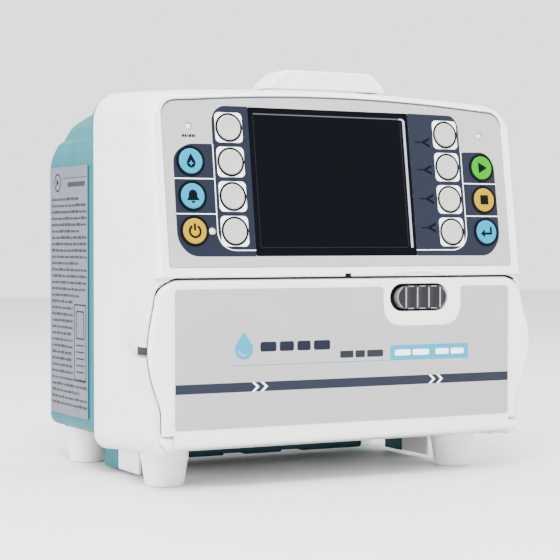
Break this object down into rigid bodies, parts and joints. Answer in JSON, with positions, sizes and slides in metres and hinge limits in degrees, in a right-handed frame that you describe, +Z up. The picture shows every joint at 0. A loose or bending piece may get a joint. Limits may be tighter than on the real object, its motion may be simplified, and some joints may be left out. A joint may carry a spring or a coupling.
{
  "type": "infusion pump",
  "caption": "Table-top peristaltic infusion pump with an arched case, a sloping display and keypad panel, a latched drop-down tube door, a top grip and round feet.",
  "frame": {"origin": "middle of the footprint, on the plane the feet stand on", "axes": "-Y is the front with the display and the tube door, +Z is up, +X is to the right seen from the front"},
  "size_m": [0.2478, 0.176, 0.2344],
  "materials": {
    "case_white": "moulded, fine satin texture",
    "case_teal": "moulded, satin",
    "panel_film": "printed keypad film, silky",
    "side_film": "printed rating film, satin",
    "door_film": "printed film, satin",
    "display_window": "dark tinted, polished",
    "display_module": "matt",
    "circuit_board": "solder mask",
    "key_grey": "silky",
    "key_blue": "silky",
    "key_yellow": "silky",
    "key_green": "silky",
    "lens": "clear lens, frosted",
    "latch_grey": "satin",
    "inner_dark": "matt",
    "mechanism_plastic": "natural acetal",
    "steel": "ground",
    "aluminium": "machined or pressed",
    "inlet_black": "moulded"
  },
  "bodies": {
    "case": {"front_case": "case_white", "rear_case": "case_teal", "carry_handle": "case_white", "foot_front_left": "case_white", "foot_front_right": "case_white", "foot_rear_left": "case_white", "foot_rear_right": "case_white", "side_label": "side_film", "panel_overlay": "panel_film", "display_window": "display_window", "display_module": "display_module", "keypad_board": "circuit_board", "mains_indicator": "lens", "alarm_indicator": "lens", "power_indicator": "lens", "hinge_rod": "steel", "pump_frame": "aluminium", "bearing_left": "steel", "bearing_right": "steel", "stepper_motor": "inner_dark", "air_bubble_sensor": "inner_dark", "pressure_sensor": "inner_dark", "main_board": "circuit_board", "power_supply": "aluminium", "battery_pack": "inner_dark", "mains_inlet": "inlet_black"},
    "door": {"door_shell": "case_white", "door_liner": "case_white", "door_overlay": "door_film", "latch_spring": "steel", "plate_spring": "steel"},
    "latch": {"latch_knob": "latch_grey", "latch_hook": "steel"},
    "platen": {"pressure_plate": "inner_dark"},
    "cam": {"camshaft": "steel", "cam_gear": "mechanism_plastic"},
    "pinion": {"motor_pinion": "steel"},
    "finger_1": {"finger_1": "mechanism_plastic"},
    "finger_2": {"finger_2": "mechanism_plastic"},
    "finger_3": {"finger_3": "mechanism_plastic"},
    "finger_4": {"finger_4": "mechanism_plastic"},
    "finger_5": {"finger_5": "mechanism_plastic"},
    "finger_6": {"finger_6": "mechanism_plastic"},
    "finger_7": {"finger_7": "mechanism_plastic"},
    "finger_8": {"finger_8": "mechanism_plastic"},
    "soft_key_left_1": {"soft_key_left_1": "key_grey"},
    "soft_key_left_2": {"soft_key_left_2": "key_grey"},
    "soft_key_left_3": {"soft_key_left_3": "key_grey"},
    "soft_key_left_4": {"soft_key_left_4": "key_grey"},
    "soft_key_right_1": {"soft_key_right_1": "key_grey"},
    "soft_key_right_2": {"soft_key_right_2": "key_grey"},
    "soft_key_right_3": {"soft_key_right_3": "key_grey"},
    "soft_key_right_4": {"soft_key_right_4": "key_grey"},
    "key_bolus": {"key_bolus": "key_blue"},
    "key_silence": {"key_silence": "key_blue"},
    "key_power": {"key_power": "key_yellow"},
    "key_start": {"key_start": "key_green"},
    "key_stop": {"key_stop": "key_yellow"},
    "key_enter": {"key_enter": "key_blue"}
  },
  "joints": [
    {"name": "door_hinge", "type": "hinge", "parent": "case", "child": "door", "pos_m": [0, -0.0824, 0.0274], "axis": [1, 0, 0], "range_deg": [0, 95]},
    {"name": "latch_slide", "type": "slide", "parent": "door", "child": "latch", "axis": [-1, 0, 0], "range_m": [0, 0.004], "stiffness_N_per_m": 600, "springref_m": -0.002, "deforming": ["latch_spring"]},
    {"name": "platen_slide", "type": "slide", "parent": "door", "child": "platen", "axis": [0, -1, 0], "range_m": [0, 0.0012], "stiffness_N_per_m": 4000, "springref_m": -0.0005, "deforming": ["plate_spring"]},
    {"name": "cam_spin", "type": "hinge", "parent": "case", "child": "cam", "pos_m": [0, -0.048, 0.076], "axis": [1, 0, 0], "continuous": true},
    {"name": "motor_spin", "type": "hinge", "parent": "case", "child": "pinion", "pos_m": [0, -0.0251, 0.076], "axis": [1, 0, 0], "continuous": true},
    {"name": "finger_1_slide", "type": "slide", "parent": "case", "child": "finger_1", "axis": [0, -1, 0], "range_m": [0, 0.003], "stiffness_N_per_m": 400, "springref_m": -0.0005},
    {"name": "finger_2_slide", "type": "slide", "parent": "case", "child": "finger_2", "axis": [0, -1, 0], "range_m": [0, 0.003], "stiffness_N_per_m": 400, "springref_m": -0.0005},
    {"name": "finger_3_slide", "type": "slide", "parent": "case", "child": "finger_3", "axis": [0, -1, 0], "range_m": [0, 0.003], "stiffness_N_per_m": 400, "springref_m": -0.0005},
    {"name": "finger_4_slide", "type": "slide", "parent": "case", "child": "finger_4", "axis": [0, -1, 0], "range_m": [0, 0.003], "stiffness_N_per_m": 400, "springref_m": -0.0005},
    {"name": "finger_5_slide", "type": "slide", "parent": "case", "child": "finger_5", "axis": [0, -1, 0], "range_m": [0, 0.003], "stiffness_N_per_m": 400, "springref_m": -0.0005},
    {"name": "finger_6_slide", "type": "slide", "parent": "case", "child": "finger_6", "axis": [0, -1, 0], "range_m": [0, 0.003], "stiffness_N_per_m": 400, "springref_m": -0.0005},
    {"name": "finger_7_slide", "type": "slide", "parent": "case", "child": "finger_7", "axis": [0, -1, 0], "range_m": [0, 0.003], "stiffness_N_per_m": 400, "springref_m": -0.0005},
    {"name": "finger_8_slide", "type": "slide", "parent": "case", "child": "finger_8", "axis": [0, -1, 0], "range_m": [0, 0.003], "stiffness_N_per_m": 400, "springref_m": -0.0005},
    {"name": "soft_key_left_1_press", "type": "slide", "parent": "case", "child": "soft_key_left_1", "axis": [0, 0.9903, -0.1392], "range_m": [0, 0.0006], "stiffness_N_per_m": 2500, "springref_m": -0.0002},
    {"name": "soft_key_left_2_press", "type": "slide", "parent": "case", "child": "soft_key_left_2", "axis": [0, 0.9903, -0.1392], "range_m": [0, 0.0006], "stiffness_N_per_m": 2500, "springref_m": -0.0002},
    {"name": "soft_key_left_3_press", "type": "slide", "parent": "case", "child": "soft_key_left_3", "axis": [0, 0.9903, -0.1392], "range_m": [0, 0.0006], "stiffness_N_per_m": 2500, "springref_m": -0.0002},
    {"name": "soft_key_left_4_press", "type": "slide", "parent": "case", "child": "soft_key_left_4", "axis": [0, 0.9903, -0.1392], "range_m": [0, 0.0006], "stiffness_N_per_m": 2500, "springref_m": -0.0002},
    {"name": "soft_key_right_1_press", "type": "slide", "parent": "case", "child": "soft_key_right_1", "axis": [0, 0.9903, -0.1392], "range_m": [0, 0.0006], "stiffness_N_per_m": 2500, "springref_m": -0.0002},
    {"name": "soft_key_right_2_press", "type": "slide", "parent": "case", "child": "soft_key_right_2", "axis": [0, 0.9903, -0.1392], "range_m": [0, 0.0006], "stiffness_N_per_m": 2500, "springref_m": -0.0002},
    {"name": "soft_key_right_3_press", "type": "slide", "parent": "case", "child": "soft_key_right_3", "axis": [0, 0.9903, -0.1392], "range_m": [0, 0.0006], "stiffness_N_per_m": 2500, "springref_m": -0.0002},
    {"name": "soft_key_right_4_press", "type": "slide", "parent": "case", "child": "soft_key_right_4", "axis": [0, 0.9903, -0.1392], "range_m": [0, 0.0006], "stiffness_N_per_m": 2500, "springref_m": -0.0002},
    {"name": "key_bolus_press", "type": "slide", "parent": "case", "child": "key_bolus", "axis": [0, 0.9903, -0.1392], "range_m": [0, 0.0006], "stiffness_N_per_m": 2500, "springref_m": -0.0002},
    {"name": "key_silence_press", "type": "slide", "parent": "case", "child": "key_silence", "axis": [0, 0.9903, -0.1392], "range_m": [0, 0.0006], "stiffness_N_per_m": 2500, "springref_m": -0.0002},
    {"name": "key_power_press", "type": "slide", "parent": "case", "child": "key_power", "axis": [0, 0.9903, -0.1392], "range_m": [0, 0.0006], "stiffness_N_per_m": 2500, "springref_m": -0.0002},
    {"name": "key_start_press", "type": "slide", "parent": "case", "child": "key_start", "axis": [0, 0.9903, -0.1392], "range_m": [0, 0.0006], "stiffness_N_per_m": 2500, "springref_m": -0.0002},
    {"name": "key_stop_press", "type": "slide", "parent": "case", "child": "key_stop", "axis": [0, 0.9903, -0.1392], "range_m": [0, 0.0006], "stiffness_N_per_m": 2500, "springref_m": -0.0002},
    {"name": "key_enter_press", "type": "slide", "parent": "case", "child": "key_enter", "axis": [0, 0.9903, -0.1392], "range_m": [0, 0.0006], "stiffness_N_per_m": 2500, "springref_m": -0.0002}
  ],
  "couplings": [
    {"joint": "motor_spin", "follows": "cam_spin", "ratio": -2}
  ]
}
